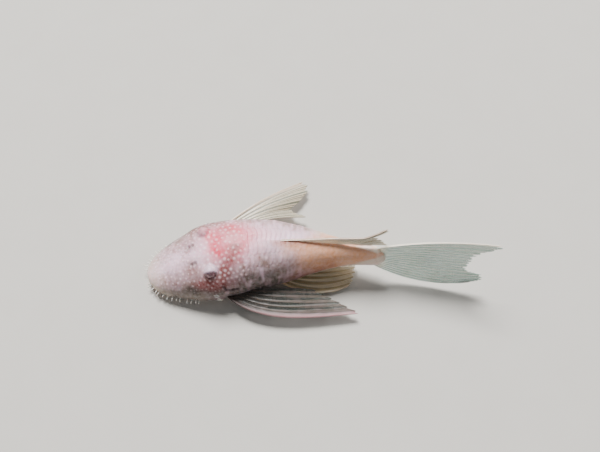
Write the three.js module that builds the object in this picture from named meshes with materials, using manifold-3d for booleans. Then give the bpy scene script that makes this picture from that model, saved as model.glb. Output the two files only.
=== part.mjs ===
// A life-size still model of an albino, long-finned bristlenose pleco, at rest on its belly.
// Millimetres. +Z is up, the head points to -X and the fish's left side faces -Y.
// The origin is on the floor, under the spine, at the middle of the flat belly.
import * as THREE from "three";
import { mergeVertices } from "three/addons/utils/BufferGeometryUtils.js";
import Module from "manifold-3d";

const wasm = await Module();
wasm.setup();

const { degToRad, lerp, smoothstep } = THREE.MathUtils;

// Driving dimensions
const standardLength = 91; // first section of the snout to the root of the tail fin
const snoutReach = 1.9; // how far the soft edge of the snout is drawn out ahead of that
const snoutReachEnds = 16; // distance from the snout where nothing is drawn out any more
const originAt = 39.25; // the origin's distance from the first section, along the spine
const gap = 0.3; // left between pieces that touch
const headYaw = 11.5; // degrees that the head is turned to the fish's left
const tailYaw = -8; // the tail root turns back to the same side
const tailRoll = 14; // degrees that the top of the tail root leans to the fish's right
const bendStarts = 15; // the spine is straight in front of this distance from the snout
const bendEnds = 85;
const trunkEnds = 66; // distance from the snout of the seam between trunk and tail
const gillAt = 29.5; // the gill opening, on the flank
const plateLength = 2.36; // one armour plate along the body
const plateRise = 0.28; // how far a plate's rear edge stands above the next plate
const plateBulge = 0.6; // how far a plate's rear edge bows back

// A smooth curve through [x, y] points that doesn't overshoot them.
function track(points) {
  const slopes = points
    .slice(1)
    .map(([x, y], i) => (y - points[i][1]) / (x - points[i][0]));
  const tangents = points.map((_, i) => {
    const before = slopes[Math.max(i - 1, 0)];
    const after = slopes[Math.min(i, slopes.length - 1)];
    return before * after <= 0 ? 0 : (2 * before * after) / (before + after);
  });
  return (x) => {
    const last = points.length - 1;
    if (x <= points[0][0]) return points[0][1];
    if (x >= points[last][0]) return points[last][1];
    const i = points.findIndex(([px]) => px > x) - 1;
    const step = points[i + 1][0] - points[i][0];
    const t = (x - points[i][0]) / step;
    return (
      points[i][1] * (1 + 2 * t) * (1 - t) ** 2 +
      tangents[i] * step * t * (1 - t) ** 2 +
      points[i + 1][1] * t * t * (3 - 2 * t) +
      tangents[i + 1] * step * t * t * (t - 1)
    );
  };
}

// The same numbers on every run, for what varies from one bristle or ray to the next.
function seeded(seed) {
  let state = seed;
  return () => {
    state = (state * 1664525 + 1013904223) % 4294967296;
    return state / 4294967296;
  };
}

// The body's sections: distance from the snout, half width, height of the widest level,
// and how far the back rises above that level and the belly drops below it.
const sections = [
  { at: 0, halfWidth: 0, level: 2.7, rise: 0, drop: 0 },
  { at: 2, halfWidth: 6, level: 2.8, rise: 2.5, drop: 1.5 },
  { at: 5, halfWidth: 9.2, level: 3, rise: 4.6, drop: 2 },
  { at: 10, halfWidth: 12.2, level: 3.4, rise: 7, drop: 2.5 },
  { at: 15, halfWidth: 14.3, level: 4, rise: 8.8, drop: 3.2 },
  { at: 20, halfWidth: 15.9, level: 4.7, rise: 10.1, drop: 4.4 },
  { at: 25, halfWidth: 16.3, level: 5.3, rise: 10.8, drop: 6 },
  { at: 32, halfWidth: 15.8, level: 6, rise: 11.9, drop: 6.8 },
  { at: 40, halfWidth: 15, level: 6.7, rise: 11.8, drop: 7.5 },
  { at: 49, halfWidth: 13.6, level: 7.4, rise: 11.1, drop: 8.2 },
  { at: 57, halfWidth: 11.4, level: 8.1, rise: 9.9, drop: 8.6 },
  { at: 65, halfWidth: 8.8, level: 9.1, rise: 8.2, drop: 7.7 },
  { at: 73, halfWidth: 6.3, level: 10.1, rise: 6.4, drop: 6.3 },
  { at: 81, halfWidth: 4.2, level: 10.8, rise: 5.1, drop: 4.9 },
  { at: 91, halfWidth: 2.6, level: 11.1, rise: 4.6, drop: 4.4 },
];
// Half widths, rises and drops are joined by their squares, which rounds the snout.
const squared = (key) => {
  const curve = track(sections.map((row) => [row.at, row[key] ** 2]));
  return (s) => Math.sqrt(Math.max(curve(s), 0));
};
const halfWidth = squared("halfWidth");
const rise = squared("rise");
const drop = squared("drop");
const level = track(sections.map((row) => [row.at, row.level]));
const backSquareness = track([[0, 2], [20, 2.15], [45, 2.2], [90, 2.05]]);
const bellySquareness = track([[0, 2.2], [15, 2.6], [55, 2.6], [90, 2.1]]);
const mouthClearance = 1.5; // the underside of the snout, above the floor
const underside = (s) => mouthClearance * (1 - smoothstep(s, 17, 22));

// Low swellings of the skin: over each eye, on each cheek and at the shoulder.
const swellings = [
  { at: 23.1, angle: 57, height: 0.6, along: 3.4, around: 12 },
  { at: 25, angle: 6, height: 0.5, along: 4.5, around: 22 },
  { at: 34, angle: 4, height: 0.45, along: 3.2, around: 20 },
];

// The spine seen from above, in short steps from the origin.
const spineStep = 0.25;
const yawAt = (s) =>
  degToRad(lerp(headYaw, tailYaw, smoothstep(s, bendStarts, bendEnds)));
const spine = new Map([[originAt, new THREE.Vector2()]]);
for (const way of [-1, 1]) {
  const p = new THREE.Vector2();
  for (let n = 1; n <= 240; n++) {
    const s = originAt + way * n * spineStep;
    const yaw = yawAt(s - (way * spineStep) / 2);
    p.x += way * spineStep * Math.cos(yaw);
    p.y += way * spineStep * Math.sin(yaw);
    spine.set(s, p.clone());
  }
}
function spineAt(s) {
  const drawnTo = s - snoutReach * (1 - smoothstep(s, 0, snoutReachEnds));
  const low = Math.floor(drawnTo / spineStep) * spineStep;
  const t = (drawnTo - low) / spineStep;
  return spine.get(low).clone().lerp(spine.get(low + spineStep), t);
}
const rollAt = (s) => degToRad(tailRoll * smoothstep(s, 58, 90));

// A place in the section at s, from its distance to the fish's right and its height.
function place(s, aside, height) {
  const roll = rollAt(s);
  const up = height - level(s);
  const across = aside * Math.cos(roll) + up * Math.sin(roll);
  const tall = level(s) - aside * Math.sin(roll) + up * Math.cos(roll);
  const yaw = yawAt(s);
  const p = spineAt(s);
  return new THREE.Vector3(
    p.x - Math.sin(yaw) * across,
    p.y + Math.cos(yaw) * across,
    tall,
  );
}

// A point of the skin. The angle runs in degrees from the fish's right (0) over the back (90)
// to its left (180) and the belly (270). The last two swell the skin outwards.
function skin(s, angle, raised = 0, clamped = true) {
  const a = degToRad(angle);
  const [c, d] = [Math.cos(a), Math.sin(a)];
  const square = d >= 0 ? backSquareness(s) : bellySquareness(s);
  const tall = d >= 0 ? rise(s) : drop(s);
  const wide = halfWidth(s);
  const power = 2 / square;
  const aside = wide * Math.sign(c) * Math.abs(c) ** power;
  const up = tall * Math.sign(d) * Math.abs(d) ** power;
  const normal = new THREE.Vector2(
    (Math.sign(c) * Math.abs(c) ** (2 - power)) / Math.max(wide, 0.5),
    (Math.sign(d) * Math.abs(d) ** (2 - power)) / Math.max(tall, 0.5),
  ).normalize();
  let out = raised;
  for (const w of swellings) {
    const beside = Math.min(Math.abs(angle - w.angle), Math.abs(180 - angle - w.angle));
    const far = ((s - w.at) / w.along) ** 2 + (beside / w.around) ** 2;
    out += w.height * Math.exp(-far);
  }
  const p = place(s, aside + normal.x * out, level(s) + up + normal.y * out);
  if (clamped) p.z = Math.max(p.z, underside(s));
  return p;
}

// Which way the skin faces at a point.
function skinNormal(s, angle) {
  const along = skin(s + 0.2, angle).sub(skin(s - 0.2, angle));
  const around = skin(s, angle + 1).sub(skin(s, angle - 1));
  return along.cross(around).normalize().negate();
}

// Plate rows: five on each flank between the ridge of the back and the naked belly.
const rowEdges = [90, 68, 47, 27, 7, -16]; // angles on the fish's right side
const bellyAngles = [-32, -50, -70];
const rightAngles = [];
for (let row = 0; row < 5; row++) {
  for (const share of [0, 1 / 3, 2 / 3]) {
    rightAngles.push({
      angle: lerp(rowEdges[row], rowEdges[row + 1], share),
      plate: share === 0 ? 0.2 : 1,
    });
  }
}
rightAngles.push({ angle: rowEdges[5], plate: 0 });
bellyAngles.forEach((angle) => rightAngles.push({ angle, plate: 0 }));
const leftAngles = rightAngles
  .slice(1)
  .reverse()
  .map(({ angle, plate }) => ({ angle: 180 - angle, plate }));
const around = [...rightAngles, { angle: -90, plate: 0 }, ...leftAngles].reverse();

// Seams: the gill opening between head and trunk, and a plate edge between trunk and tail.
function gillSeam(angle) {
  const d = Math.sin(degToRad(angle));
  return gillAt + (d > 0 ? 6.5 : -2.5) * d * d;
}

// Joins closed rings of points into one closed surface, with a pole at each end.
function loft(rings, startPole, endPole) {
  const n = rings[0].length;
  const points = [startPole, ...rings.flat(), endPole];
  const at = (ring, i) => 1 + ring * n + (i % n);
  const faces = [];
  for (let i = 0; i < n; i++) {
    faces.push(0, at(0, i + 1), at(0, i));
    for (let r = 0; r + 1 < rings.length; r++) {
      faces.push(at(r, i), at(r, i + 1), at(r + 1, i + 1));
      faces.push(at(r, i), at(r + 1, i + 1), at(r + 1, i));
    }
    faces.push(points.length - 1, at(rings.length - 1, i), at(rings.length - 1, i + 1));
  }
  return geometryOf(points, faces);
}

function geometryOf(points, faces) {
  const geometry = new THREE.BufferGeometry().setFromPoints(points);
  geometry.setIndex(faces);
  return geometry;
}

function centreOf(points) {
  const sum = points.reduce((total, p) => total.add(p), new THREE.Vector3());
  return sum.divideScalar(points.length);
}

// A solid for joining and cutting, from any closed three.js geometry.
function solid(geometry) {
  const bare = geometry.clone();
  bare.deleteAttribute("normal");
  bare.deleteAttribute("uv");
  const merged = mergeVertices(bare, 1e-4);
  const made = new wasm.Manifold(
    new wasm.Mesh({
      numProp: 3,
      vertProperties: new Float32Array(merged.attributes.position.array),
      triVerts: new Uint32Array(merged.index.array),
    }),
  );
  return made;
}

// The largest closed surface of a solid, as a geometry.
function shape(cut) {
  const bodies = cut.decompose();
  const largest = bodies.reduce((a, b) => (a.volume() > b.volume() ? a : b));
  const mesh = largest.getMesh();
  const geometry = new THREE.BufferGeometry();
  geometry.setAttribute("position", new THREE.BufferAttribute(mesh.vertProperties, 3));
  geometry.setIndex(new THREE.BufferAttribute(mesh.triVerts, 1));
  return geometry;
}

// Head: from the snout's tip to the gill opening
const headRings = 20;
function headRing(t) {
  return around.map(({ angle }) => {
    const s = gillAt * t ** 1.55 + (gillSeam(angle) - gillAt - gap / 2) * t ** 3;
    return skin(s, angle);
  });
}
const headSkin = [];
for (let i = 1; i <= headRings; i++) headSkin.push(headRing(i / headRings));
const snoutTip = skin(0, 0);
const nape = place(gillAt + 1, 0, level(gillAt));
let head = solid(loft(headSkin, snoutTip, nape));

// Trunk and tail: rings in pairs, one behind the last plate's edge and one on the next edge
function plateRing(s, lift, offset = 0, clamped = true) {
  const front = 1 - smoothstep(s, gillAt, trunkEnds - 4);
  return around.map(({ angle, plate }) => {
    const bow = plateBulge * plate;
    const slant = (gillSeam(angle) - gillAt) * front;
    return skin(s + slant + bow, angle, lift * plate + offset, clamped);
  });
}
const plateStep = 0.3; // length of the step down from one plate to the next
function platedRings(from, plates, length) {
  const rings = [];
  for (let k = 0; k < plates; k++) {
    const s = from + k * length;
    rings.push(plateRing(s, 0));
    rings.push(plateRing(s + length - plateStep, plateRise));
  }
  return rings;
}
const trunkFrom = gillAt + gap / 2;
const trunkPlates = Math.round((trunkEnds - trunkFrom) / plateLength);
const trunkRings = platedRings(
  trunkFrom,
  trunkPlates,
  (trunkEnds - gap / 2 + plateStep - trunkFrom) / trunkPlates,
);
const trunkFront = nape.clone().add(new THREE.Vector3(gap + 0.1, 0, 0));
const waist = place(trunkEnds, 0, level(trunkEnds));
const trunk = solid(loft(trunkRings, trunkFront, waist));

const tailFrom = trunkEnds + gap / 2;
const tailPlates = Math.round((standardLength - tailFrom) / plateLength);
const tailRings = platedRings(
  tailFrom,
  tailPlates,
  (standardLength - plateBulge + plateStep - tailFrom) / tailPlates,
);
const tailFront = waist.clone().add(new THREE.Vector3(gap + 0.1, 0, 0));
const tailRoot = place(standardLength + 0.2, 0, level(standardLength));
const tail = solid(loft(tailRings, tailFront, tailRoot));

// The body swollen by the gap, which trims the root of every fin
const trimRings = [];
for (let i = 1; i <= 12; i++) {
  const s = trunkFrom * (i / 13) ** 1.5;
  trimRings.push(around.map(({ angle }) => skin(s, angle, gap, false)));
}
for (let k = 0; k < trunkPlates + tailPlates; k++) {
  const inTrunk = k < trunkPlates;
  const from = inTrunk ? trunkFrom : tailFrom;
  const length = inTrunk
    ? (trunkEnds - gap / 2 + plateStep - trunkFrom) / trunkPlates
    : (standardLength - plateBulge + plateStep - tailFrom) / tailPlates;
  const s = from + (inTrunk ? k : k - trunkPlates) * length;
  trimRings.push(plateRing(s, 0, gap, false));
  trimRings.push(plateRing(s + length - plateStep, plateRise, gap, false));
}
trimRings.push(plateRing(standardLength - plateBulge + gap, plateRise, gap, false));
const trimEnd = centreOf(trimRings.at(-1)).add(new THREE.Vector3(1, 0, 0));
const trimmer = solid(loft(trimRings, snoutTip, trimEnd));

// Eyes: dark globes under thick lids, looking out and a little up
const eyeRadius = 2.35;
const eyeAt = { s: 23.1, aside: 8.9, height: 13.4 };
const eyeTilt = 14; // degrees that an eye looks up
const eyes = [-1, 1].map((side) => {
  const centre = place(eyeAt.s, side * eyeAt.aside, eyeAt.height);
  const yaw = yawAt(eyeAt.s);
  const out = new THREE.Vector3(-Math.sin(yaw), Math.cos(yaw), 0).multiplyScalar(side);
  out.multiplyScalar(Math.cos(degToRad(eyeTilt)));
  out.z = Math.sin(degToRad(eyeTilt));
  return { side, centre, out };
});
const facing = (direction) =>
  new THREE.Quaternion().setFromUnitVectors(new THREE.Vector3(0, 0, 1), direction);
function placed(geometry, quaternion, position) {
  const matrix = new THREE.Matrix4().compose(
    position,
    quaternion,
    new THREE.Vector3(1, 1, 1),
  );
  return geometry.applyMatrix4(matrix);
}
// A lid is a dome over the globe that ends in a round opening with a thick rim.
const lid = { radius: 2.95, opensAt: 1.2, openingRadius: 2.25, openingLength: 1.7 };
const rim = { radius: 2.5, thickness: 0.34 };
for (const eye of eyes) {
  const turn = facing(eye.out);
  const dome = new THREE.SphereGeometry(lid.radius, 20, 14);
  const ring = new THREE.TorusGeometry(rim.radius, rim.thickness, 6, 20);
  const ringCentre = eye.centre.clone().addScaledVector(eye.out, lid.opensAt);
  head = head.add(solid(placed(dome, turn, eye.centre)));
  head = head.add(solid(placed(ring, turn, ringCentre)));
}
for (const eye of eyes) {
  const turn = facing(eye.out);
  const socket = new THREE.SphereGeometry(eyeRadius + gap + 0.03, 16, 12);
  const [across, deep] = [lid.openingRadius, lid.openingLength];
  const opening = new THREE.CylinderGeometry(across, across, deep, 20);
  opening.rotateX(Math.PI / 2);
  opening.translate(0, 0, lid.opensAt + deep / 2);
  head = head.subtract(solid(placed(socket, turn, eye.centre)));
  head = head.subtract(solid(placed(opening, turn, eye.centre)));
}

// Nostrils: a front and a rear pit on each side with a flap of skin between them
const nostril = { s: 17, angle: 76, pit: 0.85, apart: 1.7, flap: 1.2 };
for (const side of [-1, 1]) {
  const angle = side > 0 ? nostril.angle : 180 - nostril.angle;
  for (const way of [-0.5, 0.5]) {
    const pit = new THREE.IcosahedronGeometry(nostril.pit, 1);
    const at = skin(nostril.s + way * nostril.apart, angle);
    pit.translate(at.x, at.y, at.z);
    head = head.subtract(solid(pit));
  }
  const flap = new THREE.CylinderGeometry(0.3, 0.5, nostril.flap, 6);
  flap.rotateX(Math.PI / 2);
  const at = skin(nostril.s, angle).addScaledVector(skinNormal(nostril.s, angle), 0.2);
  head = head.add(solid(placed(flap, facing(skinNormal(nostril.s, angle)), at)));
}

// A tapered bristle that stands on a point, sunk by its root
function bristle(root, direction, length, thickness) {
  const sunk = 0.6;
  const cone = new THREE.CylinderGeometry(0.12, thickness / 2, length + sunk, 5);
  cone.rotateX(Math.PI / 2);
  cone.translate(0, 0, (length - sunk) / 2);
  return solid(placed(cone, facing(direction), root));
}

// Snout bristles: one row round the soft edge of the snout
const bristles = { perSide: 12, from: 0.6, to: 17.5, angle: -6, longest: 2.4, thickness: 0.62 };
const drawBristle = seeded(7);
for (const side of [-1, 1]) {
  for (let i = 0; i < bristles.perSide; i++) {
    const share = (i + 0.5 * drawBristle()) / (bristles.perSide - 0.5);
    const s = bristles.from + (bristles.to - bristles.from) * share ** 1.5;
    const angle = side > 0 ? bristles.angle : 180 - bristles.angle;
    const out = skinNormal(s, angle);
    out.z = -0.15 + 0.2 * drawBristle();
    const length = bristles.longest * (0.65 + 0.35 * drawBristle());
    const grown = bristle(skin(s, angle), out.normalize(), length, bristles.thickness);
    head = head.add(grown);
  }
}

// Cheek spines: a small folded tuft in front of the gill opening
const cheek = { s: 25.5, angle: -12, spines: 5, length: 2.3, thickness: 0.6 };
for (const side of [-1, 1]) {
  for (let i = 0; i < cheek.spines; i++) {
    const angle = cheek.angle + 7 * (i - (cheek.spines - 1) / 2);
    const skinAngle = side > 0 ? angle : 180 - angle;
    const s = cheek.s - 0.5 * Math.abs(i - 2);
    const yaw = yawAt(s);
    const out = skinNormal(s, skinAngle).multiplyScalar(0.45);
    out.add(new THREE.Vector3(Math.cos(yaw), Math.sin(yaw), 0));
    const root = skin(s, skinAngle);
    head = head.add(bristle(root, out.normalize(), cheek.length, cheek.thickness));
  }
}

// Sucker mouth: a flat ring of lips on the floor, with a barbel at each corner
const mouth = { s: 9.4, across: 7.2, along: 6.3, height: mouthClearance - gap };
const mouthOpening = { across: 3.4, along: 1.5, ahead: 0.7 };
function lipPoint(turn, ratio, z) {
  const a = degToRad(turn);
  const inner = {
    s: mouth.s - mouthOpening.ahead - mouthOpening.along * Math.cos(a),
    y: mouthOpening.across * Math.sin(a),
  };
  const scallop = 1 + 0.025 * Math.cos(8 * a);
  const outer = {
    s: mouth.s - mouth.along * scallop * Math.cos(a),
    y: mouth.across * scallop * Math.sin(a),
  };
  const s = lerp(inner.s, outer.s, ratio);
  const p = place(s, lerp(inner.y, outer.y, ratio), 0);
  p.z = z;
  return p;
}
const lipProfile = [
  [0, 0.45],
  [0.12, 0],
  [0.84, 0],
  [1, 0.4],
  [0.93, mouth.height],
  [0.1, mouth.height],
];
const lipTurns = 32;
const lipPoints = [];
const lipFaces = [];
for (let i = 0; i < lipTurns; i++) {
  for (const [ratio, z] of lipProfile) {
    lipPoints.push(lipPoint((360 * i) / lipTurns, ratio, z));
  }
}
for (let i = 0; i < lipTurns; i++) {
  const n = lipProfile.length;
  for (let j = 0; j < n; j++) {
    const a = i * n + j;
    const b = i * n + ((j + 1) % n);
    const c = ((i + 1) % lipTurns) * n + j;
    const d = ((i + 1) % lipTurns) * n + ((j + 1) % n);
    lipFaces.push(a, b, d, a, d, c);
  }
}
let lips = solid(geometryOf(lipPoints, lipFaces));
if (lips.volume() < 0) throw new Error("the lips are inside out");
const barbel = { length: 4.2, thickness: 0.95, height: 0.62 };
for (const side of [-1, 1]) {
  const root = place(mouth.s + 1.8, side * (mouth.across - 1.2), 0);
  root.z = barbel.height;
  const yaw = yawAt(mouth.s) + side * degToRad(52);
  const way = new THREE.Vector3(Math.cos(yaw), Math.sin(yaw), 0);
  lips = lips.add(bristle(root, way, barbel.length, barbel.thickness));
}

// A fin: rays that fan out from a base and bend back, with webs of skin between them.
// The share u runs from the leading ray (0) to the last (1), v from the root to the margin.
function fin(spec) {
  const steps = 24;
  const { back, side, lift } = spec;
  function point(u, v, reach = 1) {
    const p = spec.base(u);
    const length = spec.length(u) * reach;
    const turnTo = (w) =>
      degToRad(lerp(spec.angleTip(u), spec.angleRoot(u), (1 - w) ** spec.bend));
    const n = Math.max(1, Math.round(steps * v));
    for (let i = 0; i < n; i++) {
      const a = turnTo(((i + 0.5) / n) * v);
      p.addScaledVector(back, ((length * v) / n) * Math.cos(a));
      p.addScaledVector(side, ((length * v) / n) * Math.sin(a));
    }
    return p.addScaledVector(lift, spec.camber(u, v));
  }
  const columns = [{ u: -spec.edge, thick: spec.thick.web, reach: 0.99 }];
  const draw = seeded(spec.seed);
  for (let ray = 0; ray < spec.rays; ray++) {
    const u = ray / (spec.rays - 1);
    const strong = spec.strong.includes(ray);
    columns.push({
      u,
      thick: strong ? spec.thick.spine : spec.thick.ray,
      reach: 1 - spec.ragged * draw(),
    });
    if (ray < spec.rays - 1) {
      const between = u + 0.5 / (spec.rays - 1);
      columns.push({ u: between, thick: spec.thick.web, reach: 1 - spec.notch });
    }
  }
  columns.push({ u: 1 + spec.edge, thick: spec.thick.web, reach: 0.98 });
  const rows = spec.rows;
  const points = [];
  for (const face of [1, -1]) {
    for (const { u, thick, reach } of columns) {
      for (let r = 0; r <= rows; r++) {
        const v = r / rows;
        const d = 0.004;
        const along = point(u, v + d, reach).sub(point(u, v - d, reach));
        const across = point(u + d, v, reach).sub(point(u - d, v, reach));
        const normal = across.cross(along).normalize();
        const thickness = Math.max(lerp(thick, spec.thick.tip, v ** 0.8), spec.thick.tip);
        points.push(point(u, v, reach).addScaledVector(normal, (face * thickness) / 2));
      }
    }
  }
  const wide = columns.length;
  const at = (face, c, r) => (face * wide + c) * (rows + 1) + r;
  const faces = [];
  const quad = (a, b, c, d) => faces.push(a, b, c, a, c, d);
  for (let c = 0; c + 1 < wide; c++) {
    for (let r = 0; r < rows; r++) {
      faces.push(at(0, c, r), at(0, c + 1, r), at(0, c + 1, r + 1));
      faces.push(at(0, c, r), at(0, c + 1, r + 1), at(0, c, r + 1));
      faces.push(at(1, c, r), at(1, c + 1, r + 1), at(1, c + 1, r));
      faces.push(at(1, c, r), at(1, c, r + 1), at(1, c + 1, r + 1));
    }
    quad(at(0, c, 0), at(1, c, 0), at(1, c + 1, 0), at(0, c + 1, 0));
    quad(at(0, c, rows), at(0, c + 1, rows), at(1, c + 1, rows), at(1, c, rows));
  }
  for (let r = 0; r < rows; r++) {
    quad(at(0, 0, r), at(0, 0, r + 1), at(1, 0, r + 1), at(1, 0, r));
    const e = wide - 1;
    quad(at(0, e, r), at(1, e, r), at(1, e, r + 1), at(0, e, r + 1));
  }
  const sheet = solid(geometryOf(points, faces));
  if (sheet.volume() < 0) throw new Error("a fin is inside out: " + spec.name);
  return sheet.subtract(trimmer);
}

const toTail = new THREE.Vector3(1, 0, 0);
const toRight = new THREE.Vector3(0, 1, 0);
const toLeft = new THREE.Vector3(0, -1, 0);
const up = new THREE.Vector3(0, 0, 1);
const down = new THREE.Vector3(0, 0, -1);
const between = (a, b) => (u) => a.clone().lerp(b, u);
// How far the front edge of the dorsal fin leans to the right, from its root to its tip.
const dorsalSweep = track([[0, 0], [0.5, 0.1], [0.72, -0.5], [0.8, -0.6], [0.9, 0.6], [1, 2.5]]);

const fins = {
  // The left pectoral fin is folded back beside the flank
  pectoral_fin_left: fin({
    name: "left pectoral",
    rays: 7,
    strong: [0],
    seed: 3,
    base: between(place(26.6, -12.8, 4.6), place(34, -13.4, 5.2)),
    back: toTail,
    side: toLeft,
    lift: up,
    angleRoot: track([[0, 56], [0.5, 35], [1, 4]]),
    angleTip: track([[0, -6], [1, -2]]),
    bend: 2.8,
    length: track([[0, 60], [0.25, 52], [0.5, 44], [0.75, 36], [1, 29.5]]),
    camber: (u, v) => -1.6 * v + 1.5 * Math.sin(Math.PI * v) * u,
    thick: { spine: 1.9, ray: 1, web: 0.55, tip: 0.5 },
    edge: 0.06,
    ragged: 0.02,
    notch: 0.05,
    rows: 13,
  }),
  // The right one is held out from the body
  pectoral_fin_right: fin({
    name: "right pectoral",
    rays: 7,
    strong: [0],
    seed: 5,
    base: between(place(27, 12.6, 4.6), place(34, 13, 5.2)),
    back: toTail,
    side: toRight,
    lift: up,
    angleRoot: track([[0, 43], [1, 20]]),
    angleTip: track([[0, 30], [1, 9]]),
    bend: 1,
    length: track([[0, 46.5], [0.2, 45], [0.35, 39.5], [0.6, 30], [0.8, 31], [1, 32]]),
    camber: (u, v) => -2 * v + 2.4 * Math.sin(Math.PI * v),
    thick: { spine: 1.9, ray: 1, web: 0.55, tip: 0.5 },
    edge: 0.06,
    ragged: 0.03,
    notch: 0.06,
    rows: 11,
  }),
  pelvic_fin_left: fin({
    name: "left pelvic",
    rays: 6,
    strong: [0],
    seed: 11,
    base: between(place(49, -7.4, 1.6), place(52.5, -4.4, 1.9)),
    back: toTail,
    side: toLeft,
    lift: up,
    angleRoot: track([[0, 45], [0.5, 18], [1, -2]]),
    angleTip: track([[0, -30], [0.5, -18], [1, -6]]),
    bend: 1,
    length: track([[0, 34], [0.5, 32.5], [1, 31]]),
    camber: (u, v) => -0.4 * v + 0.8 * u * v,
    thick: { spine: 1.2, ray: 0.85, web: 0.5, tip: 0.5 },
    edge: 0.06,
    ragged: 0.03,
    notch: 0.05,
    rows: 9,
  }),
  pelvic_fin_right: fin({
    name: "right pelvic",
    rays: 6,
    strong: [0],
    seed: 13,
    base: between(place(49, 7.4, 1.6), place(52.5, 4.4, 1.9)),
    back: toTail,
    side: toRight,
    lift: up,
    angleRoot: track([[0, 36], [0.5, 14], [1, -2]]),
    angleTip: track([[0, -34], [0.5, -20], [1, -8]]),
    bend: 1,
    length: track([[0, 33], [0.5, 31.5], [1, 28]]),
    camber: (u, v) => -0.4 * v + 0.8 * u * v,
    thick: { spine: 1.2, ray: 0.85, web: 0.5, tip: 0.5 },
    edge: 0.06,
    ragged: 0.03,
    notch: 0.05,
    rows: 9,
  }),
  // The dorsal fin is half lowered and flicks up to the fish's right at its tip
  dorsal_fin: fin({
    name: "dorsal",
    rays: 8,
    strong: [0],
    seed: 17,
    base: between(place(47.5, 0, 18.1), place(69, 0, 15.5)),
    back: toTail,
    side: up,
    lift: toRight,
    angleRoot: track([[0, 1], [1, 9]]),
    angleTip: track([[0, 9], [1, 2]]),
    bend: 1,
    length: track([[0, 49], [0.15, 44.5], [0.35, 35.5], [0.5, 32.5], [0.7, 30.5], [1, 25.8]]),
    camber: (u, v) => lerp(dorsalSweep(v), -1.8 * v, u),
    thick: { spine: 1.5, ray: 0.95, web: 0.55, tip: 0.5 },
    edge: 0.03,
    ragged: 0.03,
    notch: 0.05,
    rows: 11,
  }),
  adipose_fin: fin({
    name: "adipose",
    rays: 3,
    strong: [0],
    seed: 19,
    base: between(place(79.5, 0.6, 15), place(84.5, 0.4, 14.8)),
    back: toTail,
    side: up,
    lift: toRight,
    angleRoot: track([[0, 26], [1, 10]]),
    angleTip: track([[0, 0], [1, 0]]),
    bend: 1,
    length: track([[0, 9.5], [1, 4]]),
    camber: (u, v) => 0.9 * v,
    thick: { spine: 1.2, ray: 0.8, web: 0.7, tip: 0.5 },
    edge: 0.05,
    ragged: 0.02,
    notch: 0.03,
    rows: 6,
  }),
  anal_fin: fin({
    name: "anal",
    rays: 5,
    strong: [0],
    seed: 23,
    base: between(place(67, 0, 4.4), place(72, 0, 5.9)),
    back: toTail,
    side: down,
    lift: toLeft,
    angleRoot: track([[0, 20], [1, 4]]),
    angleTip: track([[0, -8], [1, -6]]),
    bend: 1,
    length: track([[0, 15], [1, 11]]),
    camber: () => 0,
    thick: { spine: 1, ray: 0.8, web: 0.55, tip: 0.5 },
    edge: 0.05,
    ragged: 0.03,
    notch: 0.05,
    rows: 6,
  }),
};

// Tail fin: the upper lobe is the longer one, and the whole fan leans to the right at its top
const finYaw = degToRad(tailYaw);
const finRise = degToRad(4);
const finRoll = degToRad(22);
const caudalBack = new THREE.Vector3(
  Math.cos(finYaw) * Math.cos(finRise),
  Math.sin(finYaw) * Math.cos(finRise),
  Math.sin(finRise),
);
const caudalSide = new THREE.Vector3(0, Math.sin(finRoll), Math.cos(finRoll));
const caudalLift = caudalSide.clone().cross(caudalBack).normalize();
fins.caudal_fin = fin({
  name: "caudal",
  rays: 16,
  strong: [0, 15],
  seed: 29,
  base: (u) => place(88, 0, lerp(level(88) + 3.7, level(88) - 3.7, u)),
  back: caudalBack,
  side: caudalSide,
  lift: caudalLift,
  angleRoot: track([[0, 19], [0.5, -1], [1, -31.5]]),
  angleTip: track([[0, -3], [0.5, -1], [1, 15.5]]),
  bend: 1,
  length: track([
    [0, 53], [0.07, 51.5], [0.14, 46.5], [0.22, 42.5], [0.4, 40.5],
    [0.58, 39], [0.64, 39.5], [0.7, 45], [0.85, 46.5], [1, 43],
  ]),
  camber: () => 0,
  thick: { spine: 1.4, ray: 1, web: 0.55, tip: 0.5 },
  edge: 0.015,
  ragged: 0.04,
  notch: 0.05,
  rows: 12,
});

// Materials
const finish = (color, roughness) =>
  new THREE.MeshStandardMaterial({ color, roughness, metalness: 0 });
const materials = {
  skin: finish(0xd9bfc6, 0.45),
  flank: finish(0xd1a491, 0.5),
  membrane: finish(0xc9c4b6, 0.4),
  lips: finish(0xe0c4b4, 0.6),
  eye: finish(0x4a1d26, 0.15),
};

const fish = new THREE.Group();
function add(name, geometry, material) {
  const mesh = new THREE.Mesh(geometry, material);
  mesh.name = name;
  fish.add(mesh);
}
add("head", shape(head), materials.skin);
add("trunk", shape(trunk), materials.skin);
add("tail", shape(tail), materials.flank);
add("mouth_disc", shape(lips), materials.lips);
for (const eye of eyes) {
  const globe = new THREE.SphereGeometry(eyeRadius, 18, 12);
  const name = eye.side < 0 ? "eye_left" : "eye_right";
  add(name, placed(globe, facing(eye.out), eye.centre), materials.eye);
}
for (const [name, made] of Object.entries(fins)) {
  add(name, shape(made), materials.membrane);
}

export default fish;
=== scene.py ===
import math
import random

import bmesh
import bpy
from mathutils import Matrix, Vector, kdtree, noise


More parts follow.
